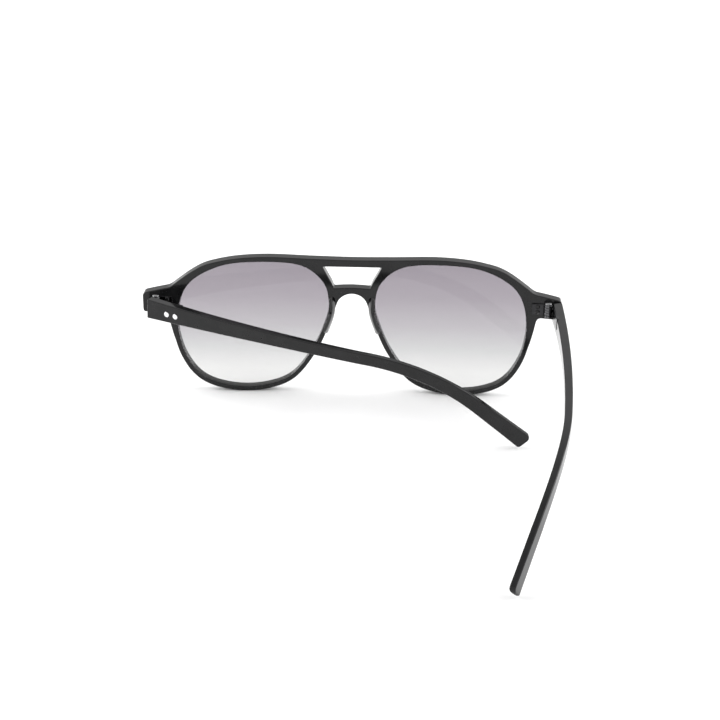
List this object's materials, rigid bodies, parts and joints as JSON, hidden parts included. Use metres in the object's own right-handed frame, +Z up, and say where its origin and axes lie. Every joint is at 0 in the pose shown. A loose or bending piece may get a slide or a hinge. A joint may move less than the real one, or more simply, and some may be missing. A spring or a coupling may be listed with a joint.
{
  "type": "aviator sunglasses",
  "caption": "Double-bridge aviator sunglasses with a slim gloss-black front, gradient lenses, nose pads and curved folding temples on barrel hinges.",
  "frame": {"origin": "the middle of the front at the level of the table: X = 0 is the mirror plane, Y = 0 the middle of the front's thickness at the bridge, Z = 0 the line that the rims' lowest points and the temple tips stand on", "axes": "+X towards the wearer's left, +Y from the front towards the temple tips, +Z up"},
  "size_m": [0.1469, 0.1419, 0.0511],
  "materials": {
    "frame_black": "polished black acetate",
    "lens_tint": "polished, grey-violet gradient to clear",
    "pad_black": "polished black acetate",
    "hinge_steel": "black-plated nickel silver",
    "pin_steel": "black-plated steel",
    "screw_steel": "dark polished steel",
    "rivet_silver": "polished",
    "wire_steel": "drawn wire"
  },
  "bodies": {
    "front": {"front_frame": "frame_black", "left_lens": "lens_tint", "right_lens": "lens_tint", "left_nose_pad": "pad_black", "right_nose_pad": "pad_black", "left_front_hinge": "hinge_steel", "right_front_hinge": "hinge_steel", "left_front_hinge_pins": "pin_steel", "right_front_hinge_pins": "pin_steel", "left_hinge_screw": "screw_steel", "right_hinge_screw": "screw_steel"},
    "left_arm": {"left_temple": "frame_black", "left_temple_hinge": "hinge_steel", "left_temple_rivets": "rivet_silver", "left_core_wire": "wire_steel"},
    "right_arm": {"right_temple": "frame_black", "right_temple_hinge": "hinge_steel", "right_temple_rivets": "rivet_silver", "right_core_wire": "wire_steel"}
  },
  "joints": [
    {"name": "left_temple_fold", "type": "hinge", "parent": "front", "child": "left_arm", "pos_m": [0.0683, 0.00596, 0.0347], "axis": [0, 0, 1], "range_deg": [-66.7, 14]},
    {"name": "right_temple_fold", "type": "hinge", "parent": "front", "child": "right_arm", "pos_m": [-0.0683, 0.00596, 0.0347], "axis": [0, 0, -1], "range_deg": [0, 45]}
  ]
}
